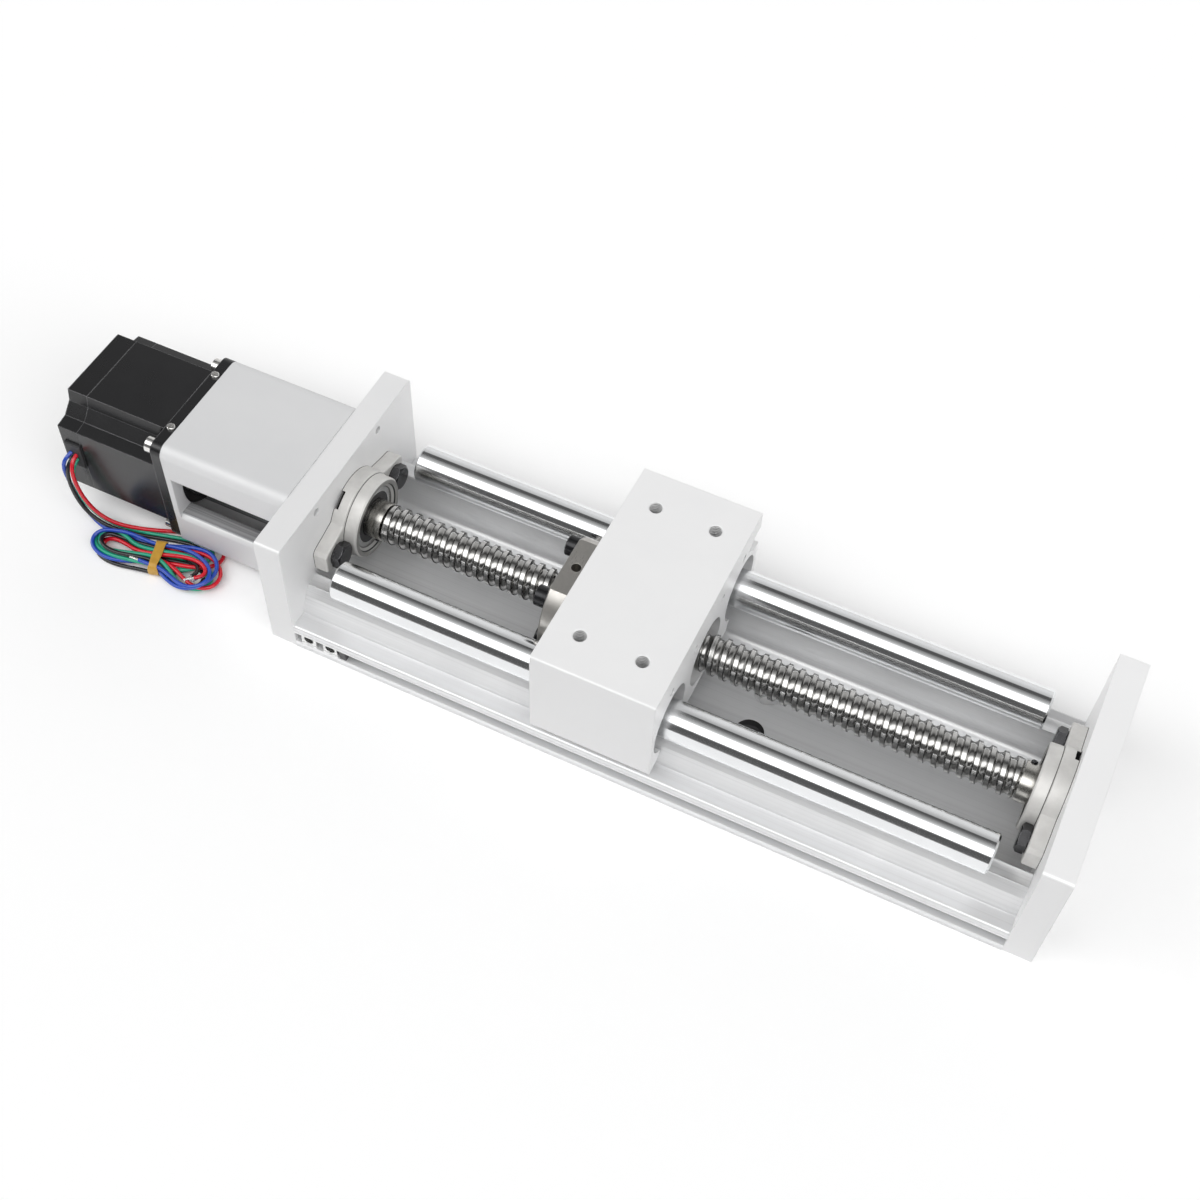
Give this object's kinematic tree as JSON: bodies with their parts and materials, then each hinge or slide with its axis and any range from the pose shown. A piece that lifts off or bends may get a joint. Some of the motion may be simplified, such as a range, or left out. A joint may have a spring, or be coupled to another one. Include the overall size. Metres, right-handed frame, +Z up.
{
  "type": "ball screw linear module",
  "caption": "Motorised ball screw linear stage: extruded base, round guide rails, driven carriage, end plates, flange bearings and stepper motor with loose leads.",
  "frame": {"origin": "centre of the footprint at the underside of the base, leads left out", "axes": "+X along the screw away from the motor, +Y across the rails, +Z up from the base to the carriage table"},
  "size_m": [0.4274, 0.1, 0.0628],
  "materials": {
    "extruded_aluminium": "satin, drawn along the length",
    "plate_aluminium": "fine matte anodised",
    "bracket_aluminium": "matte anodised",
    "carriage_aluminium": "fine matte anodised",
    "rail_chrome": "ground and hard chromed",
    "screw_steel": "rolled and ground bright",
    "bearing_cast": "light cast, lightly rough",
    "bearing_steel": "ground",
    "inner_ring_steel": "ground",
    "black_steel": "black oxide",
    "bright_screw_steel": "plated",
    "nut_steel": "ground grey-brown",
    "stator_black": "satin black",
    "motor_cap_black": "black cast",
    "coil_copper": "enamelled wire",
    "rotor_steel": "laminated",
    "seal_rubber": "moulded",
    "cage_plastic": "moulded",
    "coupling_dark": "dark anodised",
    "spider_plastic": "moulded elastomer",
    "slot_nut_steel": "plated",
    "slot_stop_plastic": "moulded",
    "grommet_rubber": "moulded",
    "wire_red": "gloss PVC",
    "wire_green": "gloss PVC",
    "wire_black": "gloss PVC",
    "wire_blue": "gloss PVC",
    "wire_bundle": "gloss PVC",
    "band_rubber": "stretched rubber"
  },
  "bodies": {
    "base": {"base_extrusion": "extruded_aluminium", "motor_side_plate": "plate_aluminium", "far_end_plate": "plate_aluminium", "plate_screws": "black_steel", "rail_near": "rail_chrome", "rail_far": "rail_chrome", "rail_screws": "black_steel", "slot_nuts": "slot_nut_steel", "slot_stop": "slot_stop_plastic", "motor_bracket": "bracket_aluminium", "motor_flange": "motor_cap_black", "motor_stator": "stator_black", "stator_coils": "coil_copper", "motor_rear_cap": "motor_cap_black", "motor_screws": "bright_screw_steel", "flange_top_screws": "bright_screw_steel", "bearing_housing_a": "bearing_cast", "bearing_housing_b": "bearing_cast", "bearing_outer_ring_a": "bearing_steel", "bearing_outer_ring_b": "bearing_steel", "bearing_seals_a": "seal_rubber", "bearing_seals_b": "seal_rubber", "bearing_balls_a": "bearing_steel", "bearing_balls_b": "bearing_steel", "housing_bolts_a": "black_steel", "housing_bolts_b": "black_steel", "motor_bearings_outer": "bearing_steel", "motor_bearing_balls": "bearing_steel", "wire_red": "wire_red", "wire_green": "wire_green", "wire_black": "wire_black", "wire_blue": "wire_blue", "wire_grommet": "grommet_rubber", "wire_hank": "wire_bundle", "rubber_band": "band_rubber"},
    "screw": {"ball_screw": "screw_steel", "bearing_inner_ring_a": "inner_ring_steel", "bearing_inner_ring_b": "inner_ring_steel", "ring_set_screws": "black_steel", "coupling_motor_hub": "coupling_dark", "coupling_screw_hub": "coupling_dark", "coupling_spider": "spider_plastic", "coupling_set_screws": "black_steel", "motor_shaft": "inner_ring_steel", "motor_rotor": "rotor_steel", "motor_bearings_inner": "bearing_steel"},
    "carriage": {"carriage_block": "carriage_aluminium", "ball_nut": "nut_steel", "nut_track_sleeve": "nut_steel", "nut_wipers": "cage_plastic", "nut_balls": "bearing_steel", "nut_screws": "black_steel", "linear_bearing_shells": "bearing_steel", "linear_bearing_cages": "cage_plastic", "rail_balls": "bearing_steel", "retaining_rings": "black_steel"}
  },
  "joints": [
    {"name": "screw_spin", "type": "hinge", "parent": "base", "child": "screw", "pos_m": [0.05405, 0, 0.0335], "axis": [-1, 0, 0], "range_deg": [-5046, 8646]},
    {"name": "carriage_slide", "type": "slide", "parent": "base", "child": "carriage", "axis": [1, 0, 0], "range_m": [-0.07, 0.12]}
  ],
  "couplings": [
    {"joint": "screw_spin", "follows": "carriage_slide", "rad_per_m": 1256.6}
  ]
}
